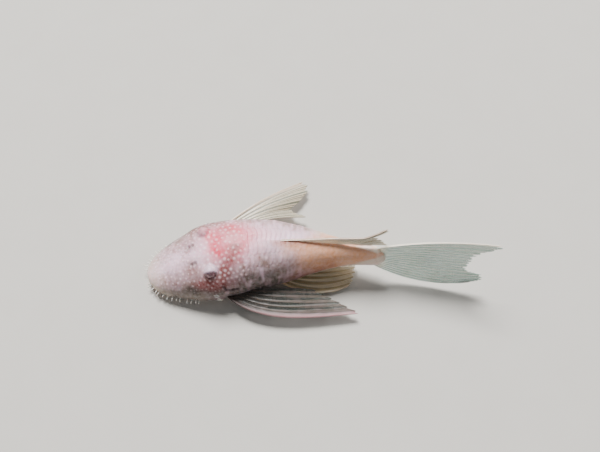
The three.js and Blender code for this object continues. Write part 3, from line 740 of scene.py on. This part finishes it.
def skinPiece():
    # one grid wrapped round the fish from the middle of its belly
    bm = bmesh.new()
    bm.loops.layers.uv.new("UVMap")
    around, along, tail = skinGrid["around"], skinGrid["along"], skinGrid["tailStarts"]
    bmesh.ops.create_grid(bm, x_segments=around, y_segments=along, size=0.5, calc_uvs=True)
    names = [*colourMasks(20, 90, Vector()), "dot", "seam", "browLight"]
    masks = {name: bm.verts.layers.float.new(name) for name in names}
    placeLayer, turnLayer = (bm.verts.layers.float.new(name) for name in ("along", "turn"))
    spread = track([(0, -90), (0.09, -32), (0.2, -6), (0.5, 90), (0.8, 186), (0.91, 212), (1, 270)])
    for v in bm.verts:
        c, t = clamp(v.co.x + 0.5), clamp(v.co.y + 0.5)
        capped = clamp((t - tail) / (1 - tail))
        s = body["length"] * min(t / tail, 1) ** skinGrid["crowding"]
        angle = spread(c)
        p = skinAt(s, angle)
        v.co = tailWedge(p, s, angle, capped) if capped > 0 else p
        v[placeLayer], v[turnLayer] = s, angle
    bmesh.ops.remove_doubles(bm, verts=bm.verts, dist=1e-4)
    bm.normal_update()
    normals = [v.normal.copy() for v in bm.verts]
    marks = scatterDots()
    print("skin: %d vertices, %d white dots" % (len(bm.verts), len(marks)))
    tree = kdtree.KDTree(len(marks))
    for i, mark in enumerate(marks):
        tree.insert(mark[0], i)
    tree.balance()
    pits = [
        skinAt(nostril["s"] + way * nostril["apart"], angle)
        for angle in (nostril["angle"], 180 - nostril["angle"])
        for way in (-0.5, 0.5)
    ]
    for v, normal in zip(bm.verts, normals):
        s, angle = v[placeLayer], v[turnLayer]
        half, side = fold(angle)
        shares = colourMasks(s, angle, v.co)
        plate, seam = plateHeight(s, angle)
        p, shade, rim = lidShape(v.co.copy())
        wall, pit, shadeAndRootTint = nostrilShape(v.co, pits)
        _, i, d = tree.find(v.co)
        size, strength = marks[i][1:]
        dot = (1 - smooth(d, size * 0.2, size * 1.35)) * strength
        dot *= (1 - shade) * (1 - rim) * (1 - min(pit * 3, 1))
        slit = bell(pathDistance(s, half, gillPath), 0, gill["width"]) if 24 < s < 37 else 0
        margin = (1 - smooth(half, 6, 20)) * (1 - smooth(s, 17, 23)) * smooth(half, -60, -30)
        height = plate + wall + dots["height"] * dot - gill["depth"] * slit + 0.12 * margin
        # broad lumps and fine ones, but the belly and the eye stay smooth
        above = 1 - shares["belly"]
        height += 0.18 * noise.noise(p * 0.16 + Vector((3, 7, 1))) * above
        height += 0.05 * noise.noise(p * 0.9) * above * (1 - shade)
        v.co = p + normal * height * (0.4 + 0.6 * above) * (1 - shade)
        v.co.z = max(v.co.z, chinLevel(s))
        shares["dot"] = dot * (1 - 0.28 * shares["litBlush"])
        # painted shade in the plate seams, the gill slit, the nostril pits, inside the eye openings
        # and on their rims
        shares["seam"] = seam + 1.6 * slit + pit * 0.45 + shade + 0.8 * rim
        # painted light on the tops of the lids, stronger on the left
        shares["browLight"] = sides["browLight"][side] * browNear(v.co) * (1 - shade)
        # painted shade round the nostril pits
        shares["greyShade"] += 0.9 * shadeAndRootTint
        for name, share in shares.items():
            v[masks[name]] = clamp(share)
    finishPiece(bm, "skin", skinPaint(), ("head", "trunk", "tail"))


# --- thin rods: bristles, cheek spines, teeth and barbels ---
def rod(bm, root, way, length, thickness, bend, sides=7, steps=5, sunk=0.5):
    # a tapered round rod, drawn out of a circle and bent a little as it grows
    turn = way.to_track_quat("Z", "Y").to_matrix().to_4x4()
    start = Matrix.Translation(root - way * sunk) @ turn
    ring = bmesh.ops.create_circle(
        bm, cap_ends=True, segments=sides, radius=thickness / 2, matrix=start
    )["verts"]
    edges = list({e for v in ring for e in v.link_edges})
    step = (length + sunk) / steps
    width = 1.0
    for k in range(steps):
        grown = bmesh.ops.extrude_edge_only(bm, edges=edges)["geom"]
        ring = [g for g in grown if isinstance(g, bmesh.types.BMVert)]
        edges = [g for g in grown if isinstance(g, bmesh.types.BMEdge)]
        way = (way + bend / steps).normalized()
        target = math.sqrt(max(1 - ((k + 1) / (steps + 0.35)) ** 2.4, 0.02))
        bmesh.ops.translate(bm, verts=ring, vec=way * step)
        middle = sum((v.co for v in ring), Vector()) / len(ring)
        shrunk = (target / width,) * 3
        bmesh.ops.scale(bm, vec=shrunk, verts=ring, space=Matrix.Translation(-middle))
        width = target
    bmesh.ops.contextual_create(bm, geom=ring)


def rodPiece(name, rods, material):
    bm = bmesh.new()
    for values in rods:
        rod(bm, *values)
    finishPiece(bm, name, material)


bristles = {"perSide": 14, "from": 0.5, "to": 18.0, "angle": -6, "length": 2.35, "thickness": 0.42}
cheekSpines = {
    "s": 24.6,
    "angle": -10,
    "count": 9,
    "apart": 5.4,
    "length": 2.1,
    "thickness": 0.34,
}


def bristlePiece():
    # one row along each edge of the snout, then a tuft of spines on each cheek
    draw = random.Random(7)
    rods = []
    for side in (-1, 1):
        for i in range(bristles["perSide"]):
            share = (i + 0.6 * draw.random()) / (bristles["perSide"] - 0.4)
            s = blend(bristles["from"], bristles["to"], share**1.5)
            angle = bristles["angle"] + draw.uniform(-5, 4)
            angle = angle if side > 0 else 180 - angle
            way = skinNormal(s, angle)
            way.z = draw.uniform(-0.2, 0.1)
            way.normalize()
            length = bristles["length"] * draw.uniform(0.7, 1.0)
            bend = Vector((draw.uniform(-0.1, 0.3), draw.uniform(-0.15, 0.15), -0.12))
            rods.append((skinAt(s, angle), way, length, bristles["thickness"], bend))
    for side in (-1, 1):
        for i in range(cheekSpines["count"]):
            row = i - (cheekSpines["count"] - 1) / 2
            angle = cheekSpines["angle"] + cheekSpines["apart"] * row
            angle = angle if side > 0 else 180 - angle
            s = cheekSpines["s"] - 0.22 * abs(row) + draw.uniform(-0.5, 0.5)
            yaw = yawAt(s)
            way = skinNormal(s, angle) * draw.uniform(0.3, 0.5)
            way = (way + Vector((math.cos(yaw), math.sin(yaw), 0))).normalized()
            length = cheekSpines["length"] * draw.uniform(0.6, 1)
            bend = Vector((0, side * 0.15, 0.1))
            rods.append((skinAt(s, angle), way, length, cheekSpines["thickness"], bend))
    material = plainPaint("pleco-bristle", "f8f3ec", "e6d8c6", 900, 0.4)
    rodPiece("bristles", rods, material)


# --- sheets: fins and lips are grids wrapped round both faces of a thin blade ---
def wrappedGrid(across, along, pointAt, names):
    # pointAt gives the place and the mask values of a column and row on a face
    bm = bmesh.new()
    bm.loops.layers.uv.new("UVMap")
    bmesh.ops.create_grid(bm, x_segments=2 * across, y_segments=along, size=0.5, calc_uvs=True)
    masks = [bm.verts.layers.float.new(name) for name in names]
    for v in bm.verts:
        column = round((v.co.x + 0.5) * 2 * across)
        row = round((v.co.y + 0.5) * along)
        face = 1 if column <= across else -1
        point, values = pointAt(column if face > 0 else 2 * across - column, row, face)
        v.co = point
        for layer, value in zip(masks, values):
            v[layer] = value
    bmesh.ops.remove_doubles(bm, verts=bm.verts, dist=2e-3)
    return bm


def between(a, b):
    return lambda u: a.lerp(b, u)


caudalLengths = [(0, 53), (0.07, 51.5), (0.14, 46.5), (0.22, 42.5), (0.4, 40.5), (0.58, 39)]
caudalLengths += [(0.64, 39.5), (0.7, 45), (0.85, 46.5), (1, 43)]
dorsalSweep = track([(0, 0), (0.5, 0.1), (0.72, -0.5), (0.8, -0.6), (0.9, 0.6), (1, 2.5)])


def finLook(web, ray, spine, root, webAlpha):
    return {"web": web, "ray": ray, "spine": spine, "root": root, "webAlpha": webAlpha}


whitish = finLook("66705c", "e9dcc4", "e6d2be", "dcc0c2", 0.5)
yellowish = finLook("bba97c", "f6e9cc", "ecd6b6", "c9a78f", 0.44)
# the near pectoral fin in painted shade: a dark web, grey-brown rays and a dark root, with a pink
# first ray
shadedPinkish = finLook("2f3b34", "5d5249", "b98e92", "34281f", 0.62)
finDefaults = {
    "bend": 1,
    "camber": lambda u, v: 0,  # how far it stands off its plane, across and along the rays
    "edge": 0.06,  # the web beyond the outer rays, as a share of the width
    "perGap": 24,  # grid columns from one ray to the next
    "fan": 1,  # how far a ray's branches spread
}
pelvics = {
    "rays": 6,
    "camber": lambda u, v: -0.4 * v + 0.8 * u * v,
    "thick": (1.0, 0.5, 0.26),
    "spineWidth": 0.09,
    "look": yellowish,
    "rows": 100,
    "fleshTo": 0.15,
    "fan": 0.65,
}
# each fin: its rays, where its base runs, and its axes back, aside and off its face; from its
# first ray (0) to its last (1) the angles of the rays at root and tip and their length
fins = {
    "pectoral_fin_left": {
        "rays": 7,
        "base": between(place(26.6, -12.8, 4.6), place(34, -13.4, 5.2)),
        "axes": (toTail, -toRight, toTop),
        "root": track([(0, 56), (0.5, 35), (1, 4)]),
        "tip": track([(0, -6), (1, -2)]),
        "bend": 2.8,
        "length": track([(0, 60), (0.25, 52), (0.5, 44), (0.75, 36), (1, 29.5)]),
        "camber": lambda u, v: -1.6 * v + 1.5 * math.sin(math.pi * v) * u,
        "thick": (1.7, 0.62, 0.3),
        "spineWidth": 0.13,
        "look": shadedPinkish,
        "rows": 140,
        # how far the painted shade at the root reaches
        "shadedTo": 0.62,
        "fleshTo": 0.5,
        "fan": 0.48,
    },
    "pectoral_fin_right": {
        "rays": 7,
        "base": between(place(27, 12.6, 4.6), place(34, 13, 5.2)),
        "axes": (toTail, toRight, toTop),
        "root": track([(0, 43), (1, 20)]),
        "tip": track([(0, 30), (1, 9)]),
        "length": track([(0, 46.5), (0.2, 45), (0.35, 39.5), (0.6, 30), (0.8, 31), (1, 32)]),
        "camber": lambda u, v: -2 * v + 2.4 * math.sin(math.pi * v),
        "thick": (1.6, 0.62, 0.3),
        "spineWidth": 0.11,
        "look": whitish,
        "rows": 110,
        "fleshTo": 0.12,
    },
    "pelvic_fin_left": {
        **pelvics,
        "base": between(place(49, -7.4, 1.6), place(52.5, -4.4, 1.9)),
        "axes": (toTail, -toRight, toTop),
        "root": track([(0, 45), (0.5, 18), (1, -2)]),
        "tip": track([(0, -30), (0.5, -18), (1, -6)]),
        "length": track([(0, 34), (0.5, 32.5), (1, 31)]),
    },
    "pelvic_fin_right": {
        **pelvics,
        "base": between(place(49, 7.4, 1.6), place(52.5, 4.4, 1.9)),
        "axes": (toTail, toRight, toTop),
        "root": track([(0, 36), (0.5, 14), (1, -2)]),
        "tip": track([(0, -34), (0.5, -20), (1, -8)]),
        "length": track([(0, 33), (0.5, 31.5), (1, 28)]),
    },
    "dorsal_fin": {
        "rays": 8,
        "base": between(place(47.5, 0, 18.1), place(69, 0, 15.5)),
        "axes": (toTail, toTop, toRight),
        "root": track([(0, 1), (1, 9)]),
        "tip": track([(0, 9), (1, 2)]),
        "length": track(
            [(0, 49), (0.15, 44.5), (0.35, 35.5), (0.5, 32.5), (0.7, 30.5), (1, 25.8)]
        ),
        "camber": lambda u, v: blend(dorsalSweep(v), -1.8 * v, u),
        "thick": (1.1, 0.6, 0.3),
        "spineWidth": 0.06,
        "edge": 0.03,
        "look": finLook("a5a37c", "f1e8d4", "cdb09c", "c99470", 0.5),
        "rows": 110,
        "fleshTo": 0.12,
    },
    "adipose_fin": {
        "rays": 3,
        "base": between(place(79.5, 0.6, 15), place(84.5, 0.4, 14.8)),
        "axes": (toTail, toTop, toRight),
        "root": track([(0, 26), (1, 10)]),
        "tip": track([(0, 0), (1, 0)]),
        "length": track([(0, 9.5), (1, 4)]),
        "camber": lambda u, v: 0.9 * v,
        "thick": (1.0, 0.5, 0.4),
        "spineWidth": 0.2,
        "edge": 0.05,
        "look": finLook("cbb59b", "e0cdb8", "d9b699", "d3a07e", 0.6),
        "perGap": 16,
        "rows": 40,
        "fleshTo": 0.4,
    },
    "anal_fin": {
        "rays": 5,
        "base": between(place(67, 0, 4.4), place(72, 0, 5.9)),
        "axes": (toTail, -toTop, -toRight),
        "root": track([(0, 20), (1, 4)]),
        "tip": track([(0, -8), (1, -6)]),
        "length": track([(0, 15), (1, 11)]),
        "thick": (0.9, 0.5, 0.3),
        "spineWidth": 0.12,
        "edge": 0.05,
        "look": yellowish,
        "perGap": 16,
        "rows": 50,
        "fleshTo": 0.2,
    },
    "caudal_fin": {
        "rays": 16,
        "base": lambda u: place(88, 0, blend(level(88) + 3.7, level(88) - 3.7, u)),
        "axes": (caudalBack, caudalSide, caudalSide.cross(caudalBack).normalized()),
        "root": track([(0, 19), (0.5, -1), (1, -31.5)]),
        "tip": track([(0, -3), (0.5, -1), (1, 15.5)]),
        "length": track(caudalLengths),
        "thick": (1.1, 0.66, 0.3),
        "spineWidth": 0.02,
        "edge": 0.015,
        "look": finLook("3f8f80", "f4fdf7", "f0e2d0", "f2e6d2", 0.46),
        "perGap": 16,
        "rows": 150,
        "fleshTo": 0.2,
        "fan": 0.55,
    },
}


def finPiece(name, own, seed):
    # every gap between two rays has the same number of grid columns, which follow the forks
    plan = {**finDefaults, **own}
    gaps, perGap, brim = plan["rays"] - 1, plan["perGap"], 5
    across, along = gaps * perGap + 2 * brim, plan["rows"]
    back, side, lift = plan["axes"]
    draw = random.Random(seed)
    frays = [draw.random() for _ in range(gaps * 8 + 8)]
    spineSize, raySize, webSize = plan["thick"]

    def path(u):
        # a ray's course, bending from its root angle to its tip angle
        x = (u + plan["edge"]) * gaps
        fray = frays[int(clamp(x * 4, 0, len(frays) - 1))]
        webbing = 1 - abs(2 * (x % 1) - 1)
        length = plan["length"](u) * (1 - 0.035 * webbing**2 - 0.035 * fray)
        p, points = plan["base"](u).copy(), []
        for r in range(along + 1):
            points.append(p + lift * plan["camber"](u, r / along))
            bent = max(1 - (r + 0.5) / along, 0) ** plan["bend"]
            a = math.radians(blend(plan["tip"](u), plan["root"](u), bent))
            p = p + (back * math.cos(a) + side * math.sin(a)) * (length / along)
        return points

    def courseAt(column, v):
        # where a column runs across the fin, in gaps, and how near it is to a ray's middle
        x = (column - brim) / perGap
        if x < 0 or x > gaps:
            over = x if x < 0 else x - gaps
            return (0 if x < 0 else gaps) + over * plan["edge"] * gaps * perGap / brim, 0.4
        ray = round(x)
        offset, way = abs(x - ray), 1 if x > ray else -1
        inner = (0.03 + 0.08 * smooth(v, 0.2, 0.75)) * plan["fan"]
        outer = inner + (0.05 + 0.14 * smooth(v, 0.45, 0.95)) * plan["fan"]
        if ray == 0:
            inner, outer = 0.08, 0.3
        if offset < 0.125:
            moved = inner * offset / 0.125
        elif offset < 0.375:
            moved = blend(inner, outer, (offset - 0.125) / 0.25)
        else:
            moved = blend(outer, 0.5, (offset - 0.375) / 0.125)
        # the nearest of the ray's two branches, which part on the way to the edge
        toBranch = min(abs(offset - 0.125), abs(offset - 0.375)) / 0.125
        forked = blend(0.25, 1, smooth(v, 0.3, 0.8))
        near = toBranch * forked if offset < 0.375 else clamp(1.3 / plan["fan"] * toBranch)
        return ray + way * moved, near

    step = (1 + 2 * plan["edge"]) / (gaps * 8)
    table = [path(-plan["edge"] + k * step) for k in range(gaps * 8 + 1)]

    def surfaceAt(x, r):
        k = clamp((x / gaps + plan["edge"]) / step, 0, gaps * 8 - 1e-6)
        low = int(k)
        return table[low][r].lerp(table[low + 1][r], k - low)

    def pointAt(c, r, face):
        v = r / along
        x, near = courseAt(c, v)
        point = surfaceAt(x, r)
        ahead, behind = surfaceAt(x, min(r + 1, along)), surfaceAt(x, max(r - 1, 0))
        left, right = surfaceAt(x - 0.1, r), surfaceAt(x + 0.1, r)
        normal = (right - left).cross(ahead - behind).normalized()
        ray = 1 - smooth(near, 0.25, 1)
        spine = bell(max(x, 0) / gaps, 0, plan["spineWidth"])
        size = blend(webSize, raySize, ray * (1 - 0.4 * v))
        size = max(size, blend(spineSize, raySize, v**0.8) * spine)
        edge = math.sqrt(clamp(min(c, across - c) / 3))
        end = math.sqrt(clamp((along - r) / 2.5)) * clamp(r / 2)
        ripple = 0.1 * noise.noise(point * 0.3) * v
        rings = 0.5 + 0.5 * math.sin(v * plan["length"](0.5) * 7 + x)
        joint = ray * rings * smooth(v, 0.15, 0.4) * (1 - spine)
        root = 1 - smooth(v, 0.03, plan["fleshTo"])
        # the root tint reaches further on the left pectoral fin, as painted shade
        shadeAndRootTint = 1 - smooth(v, 0.03, plan.get("shadedTo", plan["fleshTo"]))
        stripe = spine**2
        fleshy = max(spine * (1 - 0.35 * v), root, 0.8 * (1 - edge))
        point = point + normal * (face * size / 2 * edge * end + ripple)
        return point, (ray * (1 - stripe), stripe, joint, fleshy, shadeAndRootTint)

    bm = wrappedGrid(across, along, pointAt, ("ray", "spine", "joint", "fleshy", "root"))
    material = finPaint("pleco-" + name.replace("_", "-"), **plan["look"])
    finishPiece(bm, name + "-web", material, (name,))


# --- eyes ---
def eyePiece(side, material):
    # a globe with a pupil that a lobe of the iris cuts into from above
    centre, out = eyeFrame(side)
    bm = bmesh.new()
    names = ("pupil", "ring", "white")
    masks = {name: bm.verts.layers.float.new(name) for name in names}
    bmesh.ops.create_uvsphere(bm, u_segments=72, v_segments=48, radius=eyes["radius"])
    turn = out.to_track_quat("Z", "Y").to_matrix().to_4x4()
    for v in bm.verts:
        radial = math.hypot(v.co.x, v.co.y) / eyes["radius"] if v.co.z > 0 else 1
        lobe = bell(v.co.x / eyes["radius"], 0, 0.13) * smooth(v.co.y / eyes["radius"], -0.02, 0.2)
        pupil = 1 - smooth(radial, 0.34, 0.42)
        v[masks["pupil"]] = pupil * (1 - lobe)
        v[masks["ring"]] = bell(radial, 0.45, 0.05) * (1 - lobe)
        v[masks["white"]] = smooth(radial, 0.66, 0.8)
        if v.co.z > 0:
            v.co *= 1 + 0.05 * bell(radial, 0, 0.55)
    bmesh.ops.transform(bm, matrix=Matrix.Translation(centre) @ turn, verts=bm.verts)
    name = "eye_left" if side < 0 else "eye_right"
    finishPiece(bm, name + "-globe", material, (name,))


# --- sucker mouth ---
mouth = {
    "s": 9.4,
    "across": 7.2,
    "along": 6.3,
    "openAcross": 3.4,
    "openAlong": 1.5,
    "openAhead": 0.7,
    "height": 1.5,
    "papilla": 0.11,
    "teeth": 15,
}


def lipPoint(turn, ratio, z):
    a = math.radians(turn)
    scallop = 1 + 0.02 * math.cos(8 * a)
    innerS = mouth["s"] - mouth["openAhead"] - mouth["openAlong"] * math.cos(a)
    outerS = mouth["s"] - mouth["along"] * scallop * math.cos(a)
    inner = mouth["openAcross"] * math.sin(a)
    outer = mouth["across"] * scallop * math.sin(a)
    p = place(blend(innerS, outerS, ratio), blend(inner, outer, ratio), 0)
    p.z = z
    return p


def lipsPiece():
    turns, rounds = 220, 64
    profile = track([(0, 0.5), (0.07, 0.12), (0.5, 0.0), (0.86, 0.06), (1, 0.62)])

    def pointAt(c, r, face):
        # r goes round the mouth and c across the lip, once below and once above
        turn, ratio = 360 * (r % turns) / turns, c / rounds
        if face > 0:
            a = math.radians(turn)
            rough = noise.noise(Vector((ratio * 26, math.cos(a) * 17, math.sin(a) * 17)))
            z = profile(ratio)
            z += mouth["papilla"] * (0.5 + rough) * math.sin(math.pi * ratio)
        else:
            lift = math.sin(math.pi * ratio) ** 0.4
            z = blend(profile(ratio), mouth["height"], lift)
        return lipPoint(turn, ratio, max(z, 0)), (ratio,)

    bm = wrappedGrid(rounds, turns, pointAt, ("across",))
    material = plainPaint("pleco-lips", "e5cdbf", "d2a89d", 420, 0.5, 0.15, 0.00015)
    finishPiece(bm, "lips", material, ("mouth_disc",))


def mouthRods():
    draw = random.Random(5)
    barbels, teeth = [], []
    for side in (-1, 1):
        root = place(mouth["s"] + 1.8, side * (mouth["across"] - 1.2), 0)
        root.z = 0.62
        yaw = yawAt(mouth["s"]) + side * math.radians(52)
        way = Vector((math.cos(yaw), math.sin(yaw), 0))
        barbels.append((root, way, 4.1, 0.9, Vector((0.12, 0, 0)), 10, 7))
    for jaw in (-1, 1):
        for side in (-1, 1):
            for i in range(mouth["teeth"]):
                aside = side * (0.45 + 2.3 * i / mouth["teeth"])
                s = mouth["s"] - mouth["openAhead"] + jaw * (1.05 - 0.05 * aside * aside)
                root = place(s, aside, 0)
                root.z = 1.35
                way = Vector((-jaw * 0.35, 0, -1)).normalized()
                bend = Vector((-jaw * 0.5, 0, 0))
                teeth.append((root, way, draw.uniform(0.55, 0.7), 0.11, bend, 5, 3, 0.15))
    skinTone = plainPaint("pleco-barbel", "e6d3c6", "cfa99c", 500, 0.45)
    amber = plainPaint("pleco-teeth", "d9b98a", "a8743f", 700, 0.3, 0.4)
    rodPiece("barbels", barbels, skinTone)
    rodPiece("teeth", teeth, amber)


# --- studio: floor, camera and lights ---
studio = {
    "aim": Vector((20.8, 17.6, 0)) * mm,
    "elevation": 60.0,
    "distance": 418 * mm,
    "lens": 60.0,
    "floor": "cbc8c2",
    "speck": "c3c0b9",
    # each light: its place, size and power, and its colour
    "lights": {
        "key": ((-0.7, 2.2, 2.8), 1.5, 330.0, (1, 0.985, 0.97)),
        "fill": ((-0.5, -3, 1.8), 3, 8.8, (0.93, 0.97, 1)),
        "rimLight": ((2.75, 1.25, 1.5), 1.5, 40.0, (1, 0.99, 0.97)),
    },
    "ambient": (0.186, 0.19, 0.195, 1),
    "backdrop": (0.6, 0.6, 0.58, 1),
}


def buildFloor():
    bm = bmesh.new()
    bmesh.ops.create_grid(bm, x_segments=2, y_segments=2, size=30)
    paint = Paint("floor")
    speck = paint.range(paint.noise(60, 5), 0.3, 0.75)
    colour = paint.mix(speck * 0.25, tint(studio["floor"]), tint(studio["speck"]))
    material = paint.finish({"Base Color": colour, "Roughness": 0.85})
    floor = addToScene("floor", meshFrom(bm, "floor", material))
    floor.location.z = -0.2 * mm


def addLight(name, at, size, power, colour):
    data = bpy.data.lights.new(name, "AREA")
    data.shape, data.size, data.energy, data.color = "DISK", size, power, colour
    light = addToScene(name, data)
    light.location = Vector(at)
    light.rotation_euler = (studio["aim"] - light.location).to_track_quat("-Z", "Y").to_euler()


def buildWorld():
    # a dim even light, while the camera sees a backdrop as pale as the floor
    world = bpy.data.worlds.new("studio")
    world.use_nodes = True
    tree = world.node_tree
    path, mix = tree.nodes.new("ShaderNodeLightPath"), tree.nodes.new("ShaderNodeMix")
    mix.data_type = "RGBA"
    mix.inputs[6].default_value = studio["ambient"]
    mix.inputs[7].default_value = studio["backdrop"]
    tree.links.new(path.outputs["Is Camera Ray"], mix.inputs[0])
    tree.links.new(mix.outputs[2], tree.nodes["Background"].inputs[0])
    bpy.context.scene.world = world


def buildStudio():
    buildFloor()
    for name, values in studio["lights"].items():
        addLight(name, *values)
    buildWorld()
    elevation = math.radians(studio["elevation"])
    data = bpy.data.cameras.new("camera")
    data.lens = studio["lens"]
    data.sensor_width = 36
    data.clip_start = 0.01
    camera = addToScene("camera", data)
    away = Vector((0, -math.cos(elevation), math.sin(elevation)))
    camera.location = studio["aim"] + away * studio["distance"]
    camera.rotation_euler = away.to_track_quat("Z", "Y").to_euler()
    bpy.context.scene.camera = camera


print("building the skin")
skinPiece()
bristlePiece()
print("building the fins")
for number, (finName, finPlan) in enumerate(fins.items()):
    finPiece(finName, finPlan, 20 + number)
print("building the eyes and mouth")
eyeMaterial = eyePaint()
for eyeSide in (-1, 1):
    eyePiece(eyeSide, eyeMaterial)
lipsPiece()
mouthRods()
buildStudio()
print("finished")
